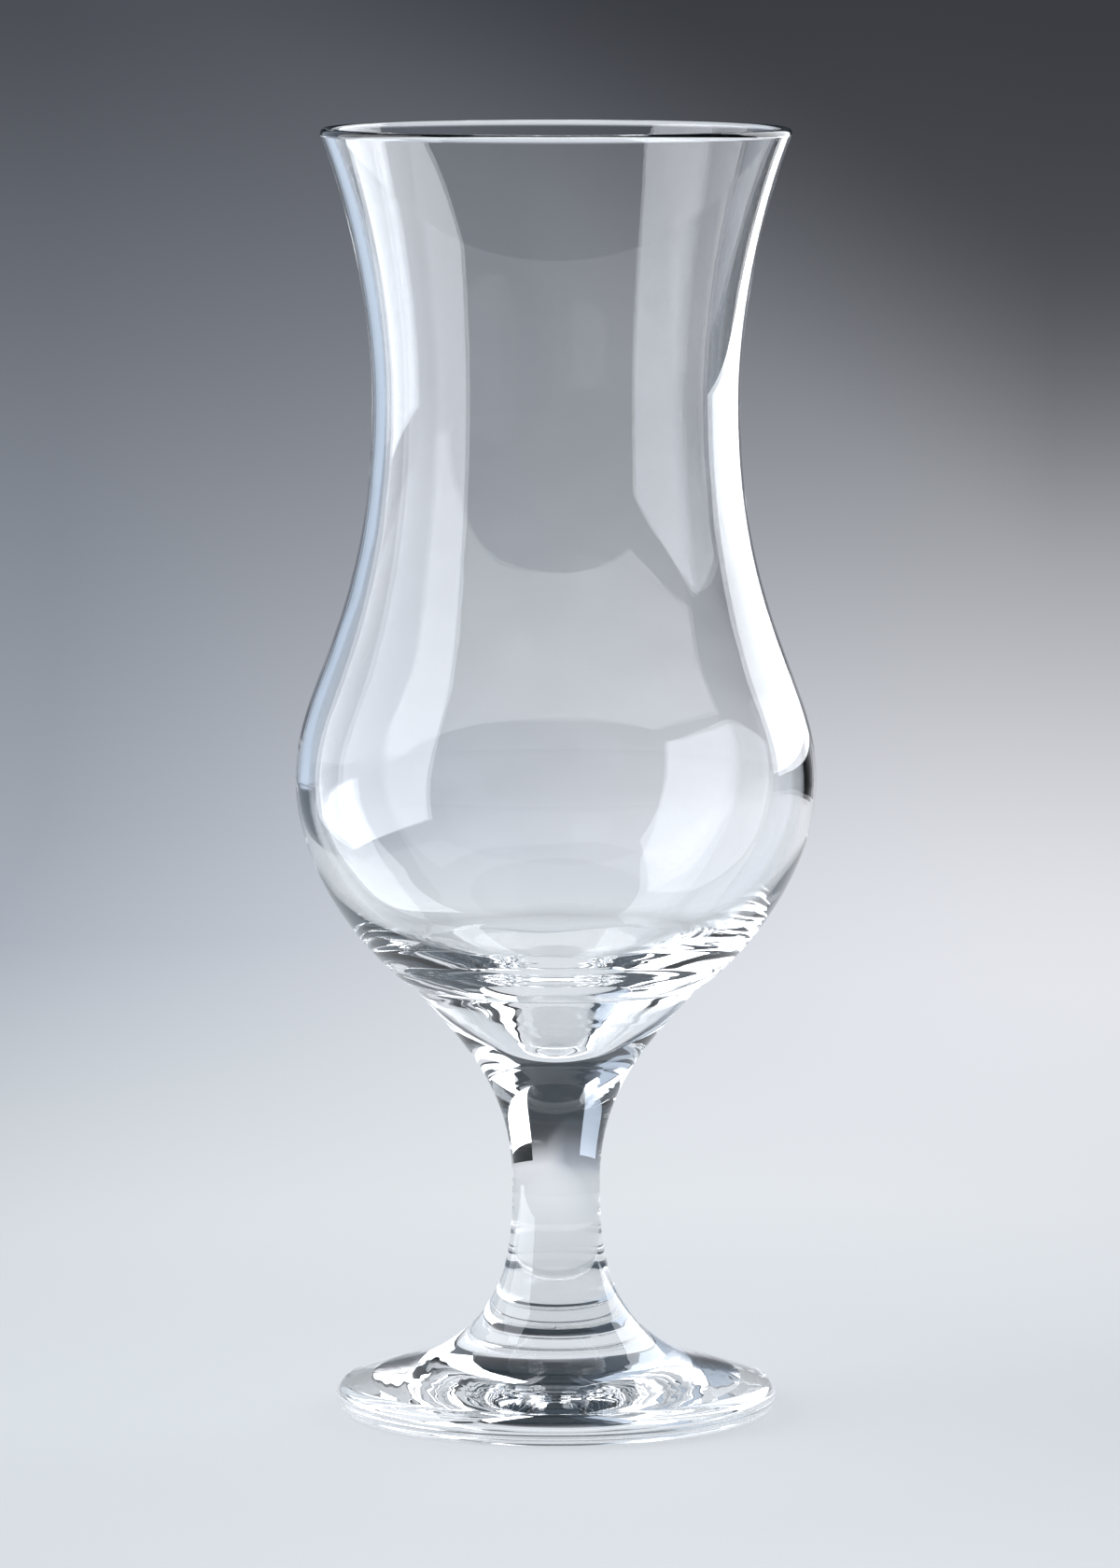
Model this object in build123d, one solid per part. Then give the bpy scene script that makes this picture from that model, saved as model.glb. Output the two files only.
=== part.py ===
"""Hurricane glass: a flared and waisted bowl, a short solid stem and a pressed foot, welded end to end.

Millimetres, +Z up. The origin is on the table, under the axis of the glass. Each piece is a section
that is turned about Z. A lean is the angle of the outline from straight up, positive where the
outline opens outwards as it rises. A pull is how far a curve keeps to the lean at one of its ends,
as a share of the height that the curve spans.
"""
import os
from math import cos, radians, sin

from build123d import *

# Bowl, outside
total_height = 205.0
rim_diameter = 74.6
rim_thickness = 1.9
rim_lean = 22.0
waist_diameter = 58.3
waist_height = 162.0
belly_diameter = 82.8
belly_height = 101.8
shoulder_diameter = 45.9
shoulder_height = 68.6
shoulder_lean = 66.0

# Bowl, inside: the wall turns in round a heel to a sloping ledge, inside which sinks a round well
wall_thickness = 2.0
ledge_diameter = 45.0
ledge_rise = 5.8
ledge_slope = 14.5
well_slope = 43.8
well_radius = 9.2
bottom_thickness = 8.65

# Collar under the bowl and its weld to the stem
collar_lean = 42.8
bowl_weld_diameter = 20.0
bowl_weld_height = 51.5
bowl_weld_lean = 24.4

# Stem, at its narrowest
stem_diameter = 14.0
stem_waist_height = 37.0

# Weld between stem and foot
foot_weld_diameter = 19.0
foot_weld_height = 20.0
foot_weld_lean = -24.0

# Foot
boss_diameter = 37.0
boss_height = 10.1
boss_lean = -59.0
foot_diameter = 70.3
foot_top_slope = 19.0
foot_edge_upper_radius = 2.6
foot_edge_lower_radius = 2.8
hollow_diameter = 56.0
hollow_depth = 1.4

# Pulls of the curves, upper end first
flare_pulls = (0.29, 0.32)
waist_pulls = (0.59, 0.265)
belly_pulls = (0.54, 0.09)
lining_pulls = (0.51, 0.26)
well_pulls = (0.47, 0.21)
collar_pulls = (0.49, 0.39)
stem_top_pulls = (0.30, 0.41)
stem_bottom_pulls = (0.32, 0.35)
boss_pulls = (0.41, 0.54)
disc_pulls = (1.10, 2.00)


def curve(upper, upper_lean, lower, lower_lean, pulls):
    """Smooth outline from an upper to a lower point, which leaves each end along its lean."""
    span = upper[1] - lower[1]
    above, below = radians(upper_lean), radians(lower_lean)
    upper_pull, lower_pull = pulls[0] * span, pulls[1] * span
    leaving = (upper[0] - upper_pull * sin(above), upper[1] - upper_pull * cos(above))
    arriving = (lower[0] + lower_pull * sin(below), lower[1] + lower_pull * cos(below))
    return Bezier(upper, leaving, arriving, lower)


def turned(outline):
    """Solid of revolution about Z of a closed outline, given as edges in order."""
    return revolve(Plane.XZ * make_face(Wire(outline)), Axis.Z)


bowl_weld = (bowl_weld_diameter / 2, bowl_weld_height)
foot_weld = (foot_weld_diameter / 2, foot_weld_height)


def make_bowl():
    """Rim, flare, waist, belly and thick bottom, down to the flat weld on top of the stem."""
    rim_radius = rim_thickness / 2
    rim_centre = (rim_diameter / 2 - rim_radius, total_height - rim_radius)
    across = (rim_radius * cos(radians(rim_lean)), rim_radius * sin(radians(rim_lean)))
    rim_outside = (rim_centre[0] + across[0], rim_centre[1] - across[1])
    rim_inside = (rim_centre[0] - across[0], rim_centre[1] + across[1])
    waist = (waist_diameter / 2, waist_height)
    belly = (belly_diameter / 2, belly_height)
    shoulder = (shoulder_diameter / 2, shoulder_height)
    waist_inside = (waist[0] - wall_thickness, waist_height)
    belly_inside = (belly[0] - wall_thickness, belly_height)

    # The ledge lies above the shoulder, and the lowest point of the well is on the axis
    ledge = (ledge_diameter / 2, shoulder_height + ledge_rise)
    well_bottom = (0, bowl_weld_height + bottom_thickness)
    well_centre = (0, well_bottom[1] + well_radius)
    well_edge = (well_radius * sin(radians(well_slope)),
                 well_centre[1] - well_radius * cos(radians(well_slope)))

    weld_centre = (0, bowl_weld_height)
    return turned([
        CenterArc(rim_centre, rim_radius, -rim_lean, 180),
        curve(rim_outside, rim_lean, waist, 0, flare_pulls),
        curve(waist, 0, belly, 0, waist_pulls),
        curve(belly, 0, shoulder, shoulder_lean, belly_pulls),
        curve(shoulder, collar_lean, bowl_weld, bowl_weld_lean, collar_pulls),
        Line(bowl_weld, weld_centre),
        Line(weld_centre, well_bottom),
        CenterArc(well_centre, well_radius, -90, well_slope),
        curve(ledge, 90 - ledge_slope, well_edge, 90 - well_slope, well_pulls),
        curve(belly_inside, 0, ledge, 90 - ledge_slope, lining_pulls),
        curve(waist_inside, 0, belly_inside, 0, waist_pulls),
        curve(rim_inside, rim_lean, waist_inside, 0, flare_pulls),
    ])


def make_stem():
    """Solid stem between the two flat welds."""
    narrowest = (stem_diameter / 2, stem_waist_height)
    upper_centre, lower_centre = (0, bowl_weld_height), (0, foot_weld_height)
    return turned([
        Line(upper_centre, bowl_weld),
        curve(bowl_weld, bowl_weld_lean, narrowest, 0, stem_top_pulls),
        curve(narrowest, 0, foot_weld, foot_weld_lean, stem_bottom_pulls),
        Line(foot_weld, lower_centre),
        Line(lower_centre, upper_centre),
    ])


def make_foot():
    """Pressed foot: flared boss under the stem, sloping disc, round edge, flat ring and hollow."""
    boss = (boss_diameter / 2, boss_height)
    edge = foot_diameter / 2
    upper_centre = (edge - foot_edge_upper_radius, foot_edge_lower_radius)
    lower_centre = (edge - foot_edge_lower_radius, foot_edge_lower_radius)
    slope = radians(foot_top_slope)
    disc_end = (upper_centre[0] + foot_edge_upper_radius * sin(slope),
                upper_centre[1] + foot_edge_upper_radius * cos(slope))
    ring_outside = (lower_centre[0], 0)
    ring_inside = (hollow_diameter / 2, 0)
    hollow_top = (0, hollow_depth)
    weld_centre = (0, foot_weld_height)
    return turned([
        Line(weld_centre, foot_weld),
        curve(foot_weld, foot_weld_lean, boss, boss_lean, boss_pulls),
        curve(boss, boss_lean, disc_end, foot_top_slope - 90, disc_pulls),
        CenterArc(upper_centre, foot_edge_upper_radius, 0, 90 - foot_top_slope),
        CenterArc(lower_centre, foot_edge_lower_radius, -90, 90),
        Line(ring_outside, ring_inside),
        TangentArc(hollow_top, ring_inside, tangent=(1, 0)),
        Line(hollow_top, weld_centre),
    ])


os.makedirs("parts", exist_ok=True)
for node, solid in (("bowl", make_bowl()), ("stem", make_stem()), ("foot", make_foot())):
    export_step(solid, f"parts/{node}.step")
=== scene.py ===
"""Hurricane glass of three clear pieces on a pale studio sweep, lit by two softboxes and two panels."""
from math import cos, pi, radians, sin, tau

import bpy
import numpy as np
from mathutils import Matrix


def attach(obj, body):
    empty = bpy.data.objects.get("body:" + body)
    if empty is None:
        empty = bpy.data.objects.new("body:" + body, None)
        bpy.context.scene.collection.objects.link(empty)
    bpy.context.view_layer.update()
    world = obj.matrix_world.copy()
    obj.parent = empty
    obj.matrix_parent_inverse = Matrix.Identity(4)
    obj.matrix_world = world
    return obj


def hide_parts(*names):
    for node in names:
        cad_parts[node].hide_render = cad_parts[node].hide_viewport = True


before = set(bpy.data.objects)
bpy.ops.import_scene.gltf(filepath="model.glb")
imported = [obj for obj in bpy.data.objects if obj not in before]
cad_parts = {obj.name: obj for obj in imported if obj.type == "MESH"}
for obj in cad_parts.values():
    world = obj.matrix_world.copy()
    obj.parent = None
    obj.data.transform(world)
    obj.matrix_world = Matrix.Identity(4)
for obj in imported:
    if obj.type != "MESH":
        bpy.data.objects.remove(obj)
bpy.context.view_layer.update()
MM = 0.001

# The glass, in millimetres and degrees: the same sizes as the solids
total_height = 205.0
rim_diameter = 74.6
rim_thickness = 1.9
rim_lean = 22.0
waist_diameter = 58.3
waist_height = 162.0
belly_diameter = 82.8
belly_height = 101.8
shoulder_diameter = 45.9
shoulder_height = 68.6
shoulder_lean = 66.0
wall_thickness = 2.0
ledge_diameter = 45.0
ledge_rise = 5.8
ledge_slope = 14.5
well_slope = 43.8
well_radius = 9.2
bottom_thickness = 8.65
collar_lean = 42.8
bowl_weld_diameter = 20.0
bowl_weld_height = 51.5
bowl_weld_lean = 24.4
stem_diameter = 14.0
stem_waist_height = 37.0
foot_weld_diameter = 19.0
foot_weld_height = 20.0
foot_weld_lean = -24.0
boss_diameter = 37.0
boss_height = 10.1
boss_lean = -59.0
foot_diameter = 70.3
foot_top_slope = 19.0
foot_edge_upper_radius = 2.6
foot_edge_lower_radius = 2.8
hollow_diameter = 56.0
hollow_depth = 1.4

# How far each curve follows its two leans, as shares of its height
flare_pulls = (0.29, 0.32)
waist_pulls = (0.59, 0.265)
belly_pulls = (0.54, 0.09)
lining_pulls = (0.51, 0.26)
well_pulls = (0.47, 0.21)
collar_pulls = (0.49, 0.39)
stem_top_pulls = (0.30, 0.41)
stem_bottom_pulls = (0.32, 0.35)
boss_pulls = (0.41, 0.54)
disc_pulls = (1.10, 2.00)

SEGMENTS = 192

# Unevenness of the surfaces, in millimetres
wall_waves = 0.012
bottom_waves = 0.05
ledge_rings = 0.012
ledge_ring_pitch = 3.2
foot_rings = 0.007
foot_ring_pitch = 2.3
wave_fade = 15.0
ring_fade = 2.0

# Shares of a stretch at which its unevenness is fully grown or starts to fade
lining_grown = 0.7
lining_fading = 0.75
rings_fading = 0.6

# Glass material, in metres
glass_ior = 1.52
ripple_size = 0.014
ripple_detail = 1.0
ripple_height = 0.00001
polish_size = 0.022
polish_detail = 3.0
polish_roughness = 0.006
cool_tint = (0.968, 0.98, 0.987)
clear_tint = (0.985, 0.99, 0.996)


def curve(upper, upper_lean, lower, lower_lean, pulls, steps):
    """Points of the outline from an upper to a lower point, which leaves each end along its lean."""
    span = upper[1] - lower[1]
    above, below = radians(upper_lean), radians(lower_lean)
    upper, lower = np.array(upper), np.array(lower)
    leaving = upper - pulls[0] * span * np.array((sin(above), cos(above)))
    arriving = lower + pulls[1] * span * np.array((sin(below), cos(below)))
    t = np.linspace(0, 1, steps + 1)[:, None]
    u = 1 - t
    return upper * u**3 + 3 * leaving * t * u**2 + 3 * arriving * t**2 * u + lower * t**3


def arc(centre, radius, start, end, steps):
    """Points of an arc between two angles in degrees."""
    turn = np.radians(np.linspace(start, end, steps + 1))
    return np.stack([centre[0] + radius * np.cos(turn), centre[1] + radius * np.sin(turn)], 1)


def straight(start, end, steps):
    """Points of a straight stretch."""
    t = np.linspace(0, 1, steps + 1)[:, None]
    return np.array(start) * (1 - t) + np.array(end) * t


def slopes(points):
    """Unit tangents along one smooth stretch of the outline."""
    d = np.gradient(points, axis=0)
    d[0] = points[1] - points[0]
    d[-1] = points[-1] - points[-2]
    return d / np.linalg.norm(d, axis=1)[:, None]


def run_length(points):
    """Length along the outline up to each of its points."""
    return np.concatenate([[0.0], np.cumsum(np.linalg.norm(np.diff(points, axis=0), axis=1))])


def ring_faces(first, rings, segments):
    """Faces between neighbouring rings of points, over so many rings from the first one on."""
    faces = []
    for ring in range(first, first + rings - 1):
        low, high = ring * segments, (ring + 1) * segments
        for j in range(segments):
            k = (j + 1) % segments
            faces.append((low + j, low + k, high + k, high + j))
    return faces


def smooth_mesh(name, verts, faces):
    """Mesh with smooth faces."""
    mesh = bpy.data.meshes.new(name)
    mesh.from_pydata(verts, [], faces)
    mesh.update()
    mesh.polygons.foreach_set("use_smooth", [True] * len(mesh.polygons))
    return mesh


def placed(name, data):
    """New object in the scene."""
    made = bpy.data.objects.new(name, data)
    bpy.context.scene.collection.objects.link(made)
    return made


def lathe(name, stretches):
    """Mesh object turned about Z from an outline of smooth stretches, each with its relief or None.

    A relief gives the height of the surface above the outline from the length along the stretch and the
    angle round the axis. Normals come from the tangents of the outline and the slopes of the relief.
    """
    angles = np.arange(SEGMENTS) * tau / SEGMENTS
    outward = np.stack([np.cos(angles), np.sin(angles), np.zeros(SEGMENTS)], 1)
    around = np.stack([-np.sin(angles), np.cos(angles), np.zeros(SEGMENTS)], 1)
    upward = np.array((0.0, 0.0, 1.0))
    verts, normals, faces = [], [], []
    for points, relief in stretches:
        radius, height = points[:, 0, None, None], points[:, 1, None, None]
        tangent = slopes(points)
        along = tangent[:, 0, None, None] * outward + tangent[:, 1, None, None] * upward
        normal = tangent[:, 1, None, None] * outward - tangent[:, 0, None, None] * upward
        place = radius * outward + height * upward
        if relief:
            run = run_length(points)
            rise = relief(run[:, None], angles[None, :])
            steep = np.gradient(rise, run, axis=0)[..., None]
            swing = (np.roll(rise, -1, 1) - np.roll(rise, 1, 1))[..., None] * SEGMENTS / (2 * tau)
            place = place + rise[..., None] * normal
            normal = normal - steep * along - swing / np.maximum(radius, 1.0) * around
        faces.extend(ring_faces(len(verts), len(points), SEGMENTS))
        verts.extend(place)
        normals.extend(normal)
    verts = np.array(verts).reshape(-1, 3) * MM
    normals = np.array(normals).reshape(-1, 3)
    normals /= np.linalg.norm(normals, axis=1)[:, None]
    mesh = smooth_mesh(name, verts.tolist(), faces)
    mesh.normals_split_custom_set_from_vertices(normals.tolist())
    return placed(name, mesh)


def plain(stretches):
    """Stretches without relief."""
    return [(points, None) for points in stretches]


def faded(run, start, end):
    """Share that rises smoothly from 0 to 1 between two lengths along a stretch."""
    t = np.clip((run - start) / (end - start), 0, 1)
    return t * t * (3 - 2 * t)


def blown_waves(run, angle):
    """Slow waves that cross each other at a slant, as blown glass has on its inside.

    Each line has a strength, a length in millimetres and a slant or wander round the axis.
    """
    return (0.45 * np.sin(tau * run / 19 + 1.4 * np.sin(2 * angle + 0.6))
            + 0.35 * np.sin(tau * run / 31 + 5 * angle + 0.9 * np.sin(3 * angle))
            + 0.30 * np.sin(tau * run / 13 - 7 * angle + 2.1)
            + 0.20 * np.sin(tau * run / 9 + 11 * angle + 0.4))


def pressed_rings(run, angle, pitch):
    """Fine rings round the axis that wander a little in pitch and strength, as a turned mould leaves them."""
    wander = 0.5 * np.sin(3 * angle + 0.7) + 0.35 * np.sin(5 * angle + tau * run / 17)
    strength = 0.65 + 0.35 * np.sin(2 * angle + tau * run / 11 + 1.0)
    return strength * np.sin(tau * run / pitch + 1.1 * np.sin(tau * run / 7.3) + wander)


bowl_weld = (bowl_weld_diameter / 2, bowl_weld_height)
foot_weld = (foot_weld_diameter / 2, foot_weld_height)


def bowl_outline():
    """Outline of the bowl from its weld up the outside, over the rim and down the inside to the axis."""
    rim_radius = rim_thickness / 2
    rim_centre = np.array((rim_diameter / 2 - rim_radius, total_height - rim_radius))
    across = rim_radius * np.array((cos(radians(rim_lean)), -sin(radians(rim_lean))))
    waist = (waist_diameter / 2, waist_height)
    belly = (belly_diameter / 2, belly_height)
    shoulder = (shoulder_diameter / 2, shoulder_height)
    waist_inside = (waist[0] - wall_thickness, waist_height)
    belly_inside = (belly[0] - wall_thickness, belly_height)
    ledge = (ledge_diameter / 2, shoulder_height + ledge_rise)
    well_centre = (0, bowl_weld_height + bottom_thickness + well_radius)
    well_edge = (well_radius * sin(radians(well_slope)),
                 well_centre[1] - well_radius * cos(radians(well_slope)))
    outside = [
        curve(rim_centre + across, rim_lean, waist, 0, flare_pulls, steps=40),
        curve(waist, 0, belly, 0, waist_pulls, steps=50),
        curve(belly, 0, shoulder, shoulder_lean, belly_pulls, steps=50),
        curve(shoulder, collar_lean, bowl_weld, bowl_weld_lean, collar_pulls, steps=30),
    ]
    rim = arc(rim_centre, rim_radius, -rim_lean, 180 - rim_lean, steps=20)
    flare = curve(rim_centre - across, rim_lean, waist_inside, 0, flare_pulls, steps=40)
    wall = curve(waist_inside, 0, belly_inside, 0, waist_pulls, steps=60)
    lining = curve(belly_inside, 0, ledge, 90 - ledge_slope, lining_pulls, steps=90)
    well = curve(ledge, 90 - ledge_slope, well_edge, 90 - well_slope, well_pulls, steps=90)
    tip = arc(well_centre, well_radius, well_slope - 90, -90, steps=24)
    wall_run, lining_run, well_run = (run_length(part)[-1] for part in (wall, lining, well))

    # The waves run on from the waist to the ledge and grow towards the bottom
    def wall_relief(run, angle):
        return wall_waves * faded(run, 0, wave_fade) * blown_waves(run, angle)

    def lining_relief(run, angle):
        growth = wall_waves + (bottom_waves - wall_waves) * faded(run, 0, lining_grown * lining_run)
        fade = 1 - faded(run, lining_fading * lining_run, lining_run)
        return growth * fade * blown_waves(run + wall_run, angle)

    def well_relief(run, angle):
        fade = faded(run, 0, ring_fade) * (1 - faded(run, rings_fading * well_run, well_run))
        return ledge_rings * fade * pressed_rings(run, angle, ledge_ring_pitch)

    inside = [(flare, None), (wall, wall_relief), (lining, lining_relief), (well, well_relief), (tip, None)]
    return plain([part[::-1] for part in reversed(outside)] + [rim]) + inside


def stem_outline():
    """Outline of the stem from the foot's weld up to the bowl's."""
    narrowest = (stem_diameter / 2, stem_waist_height)
    upper = curve(bowl_weld, bowl_weld_lean, narrowest, 0, stem_top_pulls, steps=40)
    lower = curve(narrowest, 0, foot_weld, foot_weld_lean, stem_bottom_pulls, steps=40)
    return plain([lower[::-1], upper[::-1]])


def foot_outline():
    """Outline of the foot from the axis out under it, round its edge and up to its weld."""
    boss = (boss_diameter / 2, boss_height)
    edge = foot_diameter / 2
    upper_centre = (edge - foot_edge_upper_radius, foot_edge_lower_radius)
    lower_centre = (edge - foot_edge_lower_radius, foot_edge_lower_radius)
    slope = radians(foot_top_slope)
    disc_end = (upper_centre[0] + foot_edge_upper_radius * sin(slope),
                upper_centre[1] + foot_edge_upper_radius * cos(slope))
    ring_outside = (lower_centre[0], 0)
    ring_inside = (hollow_diameter / 2, 0)
    dome = (hollow_diameter**2 / 4 + hollow_depth**2) / (2 * hollow_depth)
    half_angle = np.degrees(np.arcsin(hollow_diameter / 2 / dome))
    hollow = arc((0, hollow_depth - dome), dome, 90, 90 - half_angle, steps=40)
    disc = curve(boss, boss_lean, disc_end, foot_top_slope - 90, disc_pulls, steps=160)[::-1]
    neck = curve(foot_weld, foot_weld_lean, boss, boss_lean, boss_pulls, steps=110)[::-1]
    disc_run, neck_run = run_length(disc)[-1], run_length(neck)[-1]

    def disc_relief(run, angle):
        return foot_rings * faded(run, 0, ring_fade) * pressed_rings(run, angle, foot_ring_pitch)

    def neck_relief(run, angle):
        fade = 1 - faded(run, rings_fading * neck_run, neck_run)
        return foot_rings * fade * pressed_rings(run + disc_run, angle, foot_ring_pitch)

    return plain([
        hollow,
        straight(ring_inside, ring_outside, steps=4),
        arc(lower_centre, foot_edge_lower_radius, -90, 0, steps=24),
        arc(upper_centre, foot_edge_upper_radius, 0, 90 - foot_top_slope, steps=24),
    ]) + [(disc, disc_relief), (neck, neck_relief)]


def feed(tree, slot, value):
    """Link a socket to an input or set the input to a value, and leave it as it is for None."""
    if isinstance(value, bpy.types.NodeSocket):
        tree.links.new(value, slot)
    elif value is not None:
        slot.default_value = value


def node(tree, kind, *inputs, **settings):
    """New shader node; each input in order is a socket to link, a value, or None to leave as it is."""
    made = tree.nodes.new(kind)
    for name, value in settings.items():
        setattr(made, name, value)
    for slot, value in zip(made.inputs, inputs):
        feed(tree, slot, value)
    return made


def maths(tree, operation, a, b=None, clamp=False):
    """Result of one operation on sockets or numbers."""
    return node(tree, "ShaderNodeMath", a, b, operation=operation, use_clamp=clamp).outputs[0]


def span(tree, value, start, end, at_start, at_end, kind="LINEAR"):
    """Number that goes from one value to another between a start and an end, and no further."""
    return node(tree, "ShaderNodeMapRange", value, start, end, at_start, at_end,
                interpolation_type=kind).outputs[0]


def more_than(tree, count, number):
    """1 where a whole count is more than a number, or else 0."""
    return maths(tree, "GREATER_THAN", count, number + 0.5)


def mixed(tree, factor, a, b):
    """Colour between two colours."""
    mix = node(tree, "ShaderNodeMix", data_type="RGBA")
    slots = {slot.identifier: slot for slot in mix.inputs}
    for name, value in (("Factor_Float", factor), ("A_Color", a), ("B_Color", b)):
        feed(tree, slots[name], value)
    return next(slot for slot in mix.outputs if slot.identifier == "Result_Color")


def noise(tree, place, size, detail):
    """Noise of a size in metres."""
    made = node(tree, "ShaderNodeTexNoise", place)
    made.inputs["Scale"].default_value = 1 / size
    made.inputs["Detail"].default_value = detail
    return made.outputs[0]


def new_material(name):
    """Material that has nodes, and its tree."""
    material = bpy.data.materials.new(name)
    material.use_nodes = True
    return material, material.node_tree


def clear_glass():
    """Clear glass with a faint cool tint, a very slight ripple and a polish that varies a little."""
    material, tree = new_material("clear_glass")
    shader = tree.nodes["Principled BSDF"]
    shader.inputs["IOR"].default_value = glass_ior
    shader.inputs["Transmission Weight"].default_value = 1.0
    place = node(tree, "ShaderNodeTexCoord").outputs["Object"]

    bump = node(tree, "ShaderNodeBump")
    bump.inputs["Strength"].default_value = 1.0
    bump.inputs["Distance"].default_value = ripple_height
    tree.links.new(noise(tree, place, ripple_size, ripple_detail), bump.inputs["Height"])
    tree.links.new(bump.outputs["Normal"], shader.inputs["Normal"])

    polish = noise(tree, place, polish_size, polish_detail)
    roughness = maths(tree, "MULTIPLY", polish, 2 * polish_roughness)
    tree.links.new(roughness, shader.inputs["Roughness"])
    tint = mixed(tree, polish, (*cool_tint, 1), (*clear_tint, 1))
    tree.links.new(tint, shader.inputs["Base Color"])
    return material


glass = clear_glass()
for subpart, outline in (("bowl", bowl_outline()), ("stem", stem_outline()), ("foot", foot_outline())):
    piece = lathe(f"glass_{subpart}", outline)
    piece.data.materials.append(glass)
    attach(piece, "root")
    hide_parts(subpart)

# Studio, in metres: a round floor that bends up into a wall, matt near the glass to keep its shadow
SWEEP_SEGMENTS = 96
sweep_radius = 0.95
sweep_bend = 0.12
sweep_height = 1.2
matt_shade = (0.75, 0.77, 0.8)
matt_share = 0.25
matt_start, matt_end = 0.1, 0.23

# Painted shade on the wall, which runs on over the floor. By height, each side goes from its floor's shade to
# its wall's shade and falls off to the dark: on the left in a near straight line, on the right as a soft
# bell.
paint_width = 0.26
floor_fade = 0.12
floor_level = -0.091
left_floor, right_floor = (0.647, 0.687, 0.719), (0.722, 0.753, 0.793)
left_wall, right_wall = (0.4, 0.439, 0.502), (0.777, 0.79, 0.832)
left_start, left_end, left_power = -0.0394, 0.2045, 1.252
right_start, right_size, right_power = -0.05, 0.12, 1.67
dark_level, high_level = 0.2, 0.3
wall_dark, high_dark = (0.072, 0.078, 0.094), (0.065, 0.087, 0.108)
middle_gain = 0.12
corner_slope = 1.54
corner_start, corner_end = 0.3375, 0.4875
corner_dim = 0.46

# Painted reflections that only the glass shows: the glow of a bright sheet on the floor, brighter than white,
# and of the lit room past its edges, and the painted dark of that room
sheet_front = -0.145
sheet_left = -0.19
sheet_back = 0.03
room_bottom = 0.03
mirrored_sheet_glow = (2.6, 2.62, 2.65)
mirrored_room_glow = (1.15, 1.17, 1.2)
painted_room_dark = (0.06, 0.08, 0.105)

# Lamps and flag: the two ends of each in plan, and the faces of glass that they show straight through
left_box = ((-0.35, -0.235), (-0.229, 0.057))
left_fill = ((-0.229, 0.057), (-0.35, 0.28))
rear_box = ((0.78, 0.34), (0.225, 0.556))
rear_panel = ((-0.225, 0.556), (-0.536, 0.45))
left_tint = (0.94, 0.97, 1.03)
rear_tint = (0.95, 0.98, 1.02)
panel_tint = (0.78, 0.91, 1.1)
flag_top = 0.09
# Black of the card under the rear softbox, a painted dark reflection that only the glass shows
mirrored_dark_card = (0.02, 0.02, 0.02)
no_faces = 0
stem_faces = 2
world_shade = (0.03, 0.04, 0.05)


def studio_sweep():
    """Round floor that bends up into a wall."""
    bend = arc((sweep_radius - sweep_bend, sweep_bend), sweep_bend, -90, 0, steps=16)
    outline = np.concatenate([[(0.0, 0.0)], bend, [(sweep_radius, sweep_height)]])
    angles = np.arange(SWEEP_SEGMENTS) * tau / SWEEP_SEGMENTS
    verts = [(r * cos(a), r * sin(a), z) for r, z in outline for a in angles]
    inward = [face[::-1] for face in ring_faces(0, len(outline), SWEEP_SEGMENTS)]
    sweep = placed("sweep", smooth_mesh("sweep", verts, inward))
    return sweep


def side_shade(tree, lift, start, floor, wall, share, dark):
    """Painted shade of one side of the backdrop, of which a share is left in the dark."""
    rise = span(tree, lift, floor_level, start, 0.0, 1.0)
    return mixed(tree, share, dark, mixed(tree, rise, (*floor, 1), (*wall, 1)))


def backdrop_shade(tree, x, lift):
    """Painted shade of the wall: its colour from the place across it and the height on it."""
    across = maths(tree, "ADD", maths(tree, "DIVIDE", x, paint_width), 0.5, clamp=True)
    upper = span(tree, lift, dark_level, high_level, 0.0, 1.0)
    dark = mixed(tree, upper, (*wall_dark, 1), (*high_dark, 1))
    line = maths(tree, "POWER", span(tree, lift, left_start, left_end, 1.0, 0.0), left_power)
    left = side_shade(tree, lift, left_start, left_floor, left_wall, line, dark)
    above_start = maths(tree, "MAXIMUM", maths(tree, "SUBTRACT", lift, right_start), 0.0)
    fall = maths(tree, "POWER", maths(tree, "DIVIDE", above_start, right_size), right_power)
    bell = maths(tree, "EXPONENT", maths(tree, "MULTIPLY", fall, -1.0))
    right = side_shade(tree, lift, right_start, right_floor, right_wall, bell, dark)
    sides = mixed(tree, across, left, right)

    # Painted light: the middle is lighter, by the whole gain halfway across
    crown = maths(tree, "MULTIPLY", across, maths(tree, "SUBTRACT", 1.0, across))
    gain = maths(tree, "ADD", maths(tree, "MULTIPLY", crown, 4 * middle_gain), 1.0)

    # The upper right corner lies in shade, along a slanting soft edge
    slant = maths(tree, "ADD", maths(tree, "MULTIPLY", across, paint_width),
                  maths(tree, "MULTIPLY", lift, corner_slope))
    shade = span(tree, slant, corner_start, corner_end, 1.0, corner_dim, "SMOOTHSTEP")
    strength = maths(tree, "MULTIPLY", gain, shade)
    return node(tree, "ShaderNodeVectorMath", sides, strength, operation="MULTIPLY").outputs[0]


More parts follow.
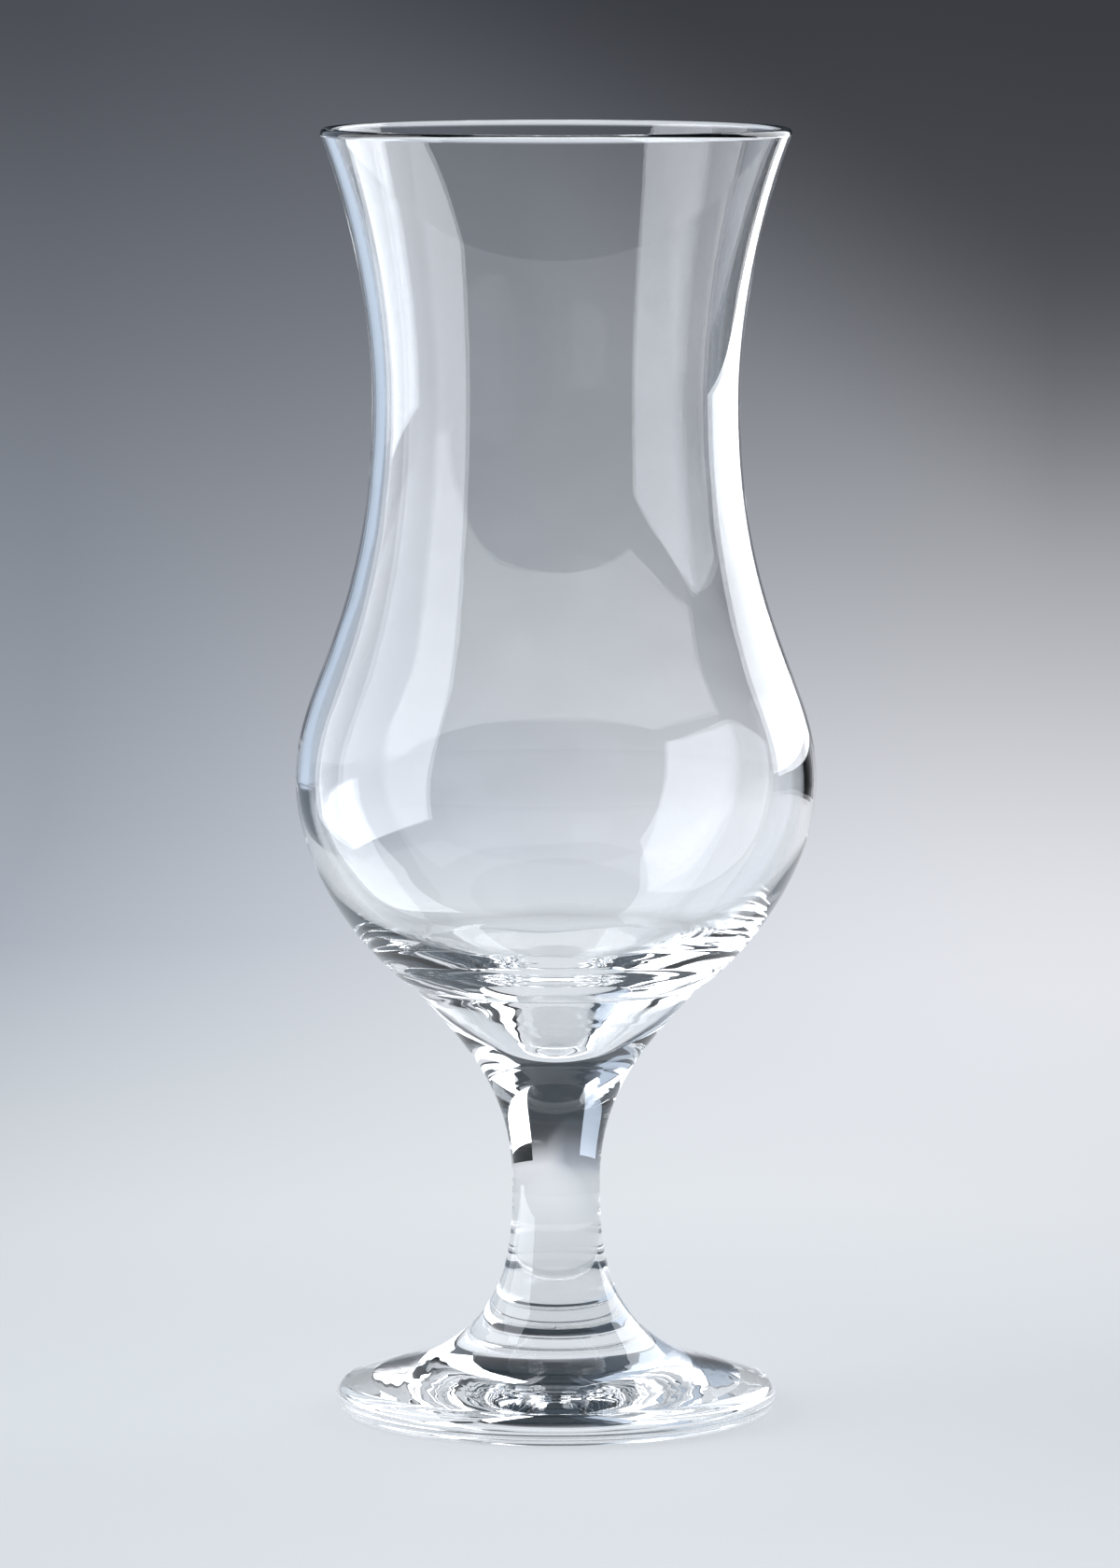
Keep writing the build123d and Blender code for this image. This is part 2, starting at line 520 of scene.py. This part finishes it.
def sweep_paint():
    """Paint that shows as bright as its colour, with painted shade on the wall and painted reflections for
    the glass, and a share of matt near the glass for the shadow.
    """
    material, tree = new_material("sweep_paint")
    tree.nodes.clear()
    place = node(tree, "ShaderNodeNewGeometry")
    x, y, z = node(tree, "ShaderNodeSeparateXYZ", place.outputs["Position"]).outputs
    away = maths(tree, "SQRT", maths(tree, "ADD", maths(tree, "MULTIPLY", x, x),
                                     maths(tree, "MULTIPLY", y, y)))
    from_wall = maths(tree, "SUBTRACT", away, sweep_radius)
    lift = maths(tree, "ADD", z, maths(tree, "MULTIPLY", from_wall, floor_fade))
    backdrop = backdrop_shade(tree, x, lift)

    # Painted reflections: the back wall of the glass mirrors the painted glow of a bright sheet and of the
    # lit room past its edges. Light that is turned about inside the solid base and foot finds the painted
    # dark of that room.
    path = node(tree, "ShaderNodeLightPath")
    mirrorings, passes = path.outputs["Glossy Depth"], path.outputs["Transmission Depth"]
    ahead = maths(tree, "LESS_THAN", y, sheet_back)
    upright = maths(tree, "GREATER_THAN", z, room_bottom)
    past_edge = maths(tree, "MAXIMUM", maths(tree, "LESS_THAN", x, sheet_left),
                      maths(tree, "LESS_THAN", y, sheet_front))
    off_sheet = maths(tree, "MAXIMUM", past_edge, maths(tree, "MULTIPLY", ahead, upright))
    often = more_than(tree, mirrorings, 1)
    once = maths(tree, "SUBTRACT", more_than(tree, mirrorings, 0), often)
    far_once = maths(tree, "MULTIPLY", once, more_than(tree, passes, 2))
    inner_once = maths(tree, "MULTIPLY", once, more_than(tree, passes, 1))
    turned = maths(tree, "MAXIMUM", often, maths(tree, "SUBTRACT", inner_once, far_once))
    # Painted reflections: the glow of the sheet and of the lit room, and the painted dark of the room
    lit = mixed(tree, ahead, backdrop, mixed(tree, off_sheet, (*mirrored_sheet_glow, 1), (*mirrored_room_glow, 1)))
    shaded = mixed(tree, off_sheet, backdrop, (*painted_room_dark, 1))
    shown = mixed(tree, turned, mixed(tree, far_once, backdrop, lit), shaded)

    glow = node(tree, "ShaderNodeEmission", shown)
    matt = node(tree, "ShaderNodeBsdfDiffuse", (*matt_shade, 1))
    near = maths(tree, "DIVIDE", maths(tree, "SUBTRACT", matt_end, away), matt_end - matt_start, clamp=True)
    unmirrored = maths(tree, "SUBTRACT", 1.0, maths(tree, "MAXIMUM", often, far_once))
    share = maths(tree, "MULTIPLY", maths(tree, "MULTIPLY", near, matt_share), unmirrored)
    both = node(tree, "ShaderNodeMixShader", share, glow.outputs[0], matt.outputs[0])

    # Only the camera and the glass see the paint. To all other light the sweep is matt, and it is clear from
    # the outside.
    glassy = maths(tree, "ADD", path.outputs["Is Glossy Ray"], path.outputs["Is Transmission Ray"])
    seen = maths(tree, "ADD", path.outputs["Is Camera Ray"], glassy, clamp=True)
    either = node(tree, "ShaderNodeMixShader", seen, matt.outputs[0], both.outputs[0])
    clear = node(tree, "ShaderNodeBsdfTransparent")
    inside_only = node(tree, "ShaderNodeMixShader", place.outputs["Backfacing"],
                       either.outputs[0], clear.outputs[0])
    node(tree, "ShaderNodeOutputMaterial", inside_only.outputs[0])
    return material


def facing(end_a, end_b):
    """Middle, width and turn of an upright panel between two points of the plan, facing the glass."""
    middle = (np.array(end_a) + np.array(end_b)) / 2
    along = np.array(end_b) - np.array(end_a)
    if along[1] * middle[0] - along[0] * middle[1] < 0:
        along = -along
    return middle, np.linalg.norm(along), np.arctan2(along[1], along[0])


def straight_look(tree, most_faces):
    """1 for a look that passes more than so many faces of glass and is mirrored by none, or else 0."""
    path = node(tree, "ShaderNodeLightPath")
    mirrored = more_than(tree, path.outputs["Glossy Depth"], 0)
    through = more_than(tree, path.outputs["Transmission Depth"], most_faces)
    return maths(tree, "SUBTRACT", through, mirrored, clamp=True)


def softbox(name, end_a, end_b, bottom, top, radiance, tint, most_faces):
    """Upright rectangular lamp between two points of the plan."""
    middle, width, turn = facing(end_a, end_b)
    lamp = bpy.data.lights.new(name, "AREA")
    lamp.shape = "RECTANGLE"
    lamp.size, lamp.size_y = width, top - bottom
    lamp.energy = radiance * pi * width * (top - bottom)
    lamp.color = tint

    # The lamp doesn't show beside the glass, and so not straight through more than so many faces of it either
    lamp.use_nodes = True
    tree = lamp.node_tree
    shown = maths(tree, "SUBTRACT", 1.0, straight_look(tree, most_faces))
    tree.links.new(shown, tree.nodes["Emission"].inputs["Strength"])
    holder = placed(name, lamp)
    holder.location = (*middle, (bottom + top) / 2)
    holder.rotation_euler = (pi / 2, 0, turn)
    holder.visible_camera = False


def flag(name, end_a, end_b, bottom, top):
    """Black card that only the glass shows, and not straight through both walls of the bowl: a painted dark
    reflection.
    """
    mesh = bpy.data.meshes.new(name)
    mesh.from_pydata([(*end_a, bottom), (*end_b, bottom), (*end_b, top), (*end_a, top)], [], [(0, 1, 2, 3)])
    material, tree = new_material(name)
    shader = tree.nodes["Principled BSDF"]
    shader.inputs["Base Color"].default_value = (*mirrored_dark_card, 1)
    shader.inputs["Specular IOR Level"].default_value = 0.0
    clear = node(tree, "ShaderNodeBsdfTransparent")
    shown = node(tree, "ShaderNodeMixShader", straight_look(tree, stem_faces),
                 shader.outputs[0], clear.outputs[0])
    tree.links.new(shown.outputs[0], tree.nodes["Material Output"].inputs["Surface"])
    mesh.materials.append(material)
    card = placed(name, mesh)
    card.visible_camera = card.visible_shadow = card.visible_diffuse = False


def studio_world():
    """Dim light from all round."""
    world = bpy.data.worlds.new("studio")
    bpy.context.scene.world = world
    world.use_nodes = True
    background = world.node_tree.nodes["Background"]
    background.inputs["Color"].default_value = (*world_shade, 1)
    background.inputs["Strength"].default_value = 1.0


sweep = studio_sweep()
sweep.data.materials.append(sweep_paint())
sweep.visible_shadow = False
softbox("left_softbox", *left_box, bottom=0.0, top=0.5, radiance=3.5, tint=left_tint, most_faces=no_faces)
softbox("left_fill", *left_fill, bottom=0.0, top=0.5, radiance=2.0, tint=left_tint, most_faces=no_faces)
softbox("rear_softbox", *rear_box, bottom=flag_top, top=0.73, radiance=3.2, tint=rear_tint,
        most_faces=stem_faces)
softbox("rear_panel", *rear_panel, bottom=0.04, top=0.6, radiance=0.6, tint=panel_tint, most_faces=stem_faces)
# Painted dark reflection of the dark under the rear softbox: a black card that only the glass shows
flag("rear_flag", *rear_box, bottom=0.02, top=flag_top)
studio_world()

# Camera at the photograph's viewpoint, in metres and degrees
camera_distance = 1.444
camera_height = 0.2543
camera_tilt = 6.068
camera_aside = 0.00062
lens_pixels = 9786.0
photo_height_pixels = 1680.0
sensor_width = 36.0
camera_data = bpy.data.cameras.new("camera")
camera_data.sensor_width = sensor_width
camera_data.lens = lens_pixels / photo_height_pixels * sensor_width
camera = placed("camera", camera_data)
camera.location = (camera_aside, -camera_distance, camera_height)
camera.rotation_euler = (radians(90 - camera_tilt), 0, 0)

scene = bpy.context.scene
scene.camera = camera
scene.view_settings.view_transform = "Standard"
scene.cycles.max_bounces = 64
scene.cycles.transmission_bounces = 64
scene.cycles.glossy_bounces = 48
scene.cycles.transparent_max_bounces = 16
